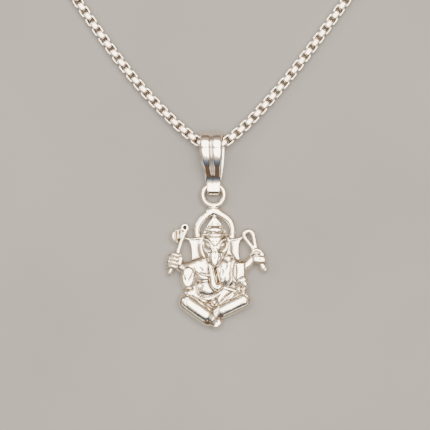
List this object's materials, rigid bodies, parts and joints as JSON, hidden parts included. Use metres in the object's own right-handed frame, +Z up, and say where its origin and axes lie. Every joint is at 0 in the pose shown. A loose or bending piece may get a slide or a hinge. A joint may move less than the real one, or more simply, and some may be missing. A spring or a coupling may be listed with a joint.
{
  "type": "pendant necklace",
  "caption": "Cast elephant-headed seated figure pendant on a tapered double-ridge bail, hung on a fine box chain with a plain clasp, laid flat as a closed loop.",
  "frame": {"origin": "middle of the figure's flat back, on the surface that the necklace lies on", "axes": "+X to the figure's viewer's right, +Y from the figure's feet to its crown and on to the clasp, +Z up from the surface, out of the figure's front"},
  "size_m": [0.1159, 0.2049, 0.0039],
  "materials": {
    "cast_silver": "polished cast silver, darkened in its recesses",
    "bail_silver": "mirror-polished silver sheet",
    "chain_silver": "polished silver links",
    "clasp_silver": "polished silver"
  },
  "bodies": {
    "root": {"figure": "cast_silver", "bail": "bail_silver", "chain": "chain_silver", "clasp": "clasp_silver"}
  },
  "joints": []
}
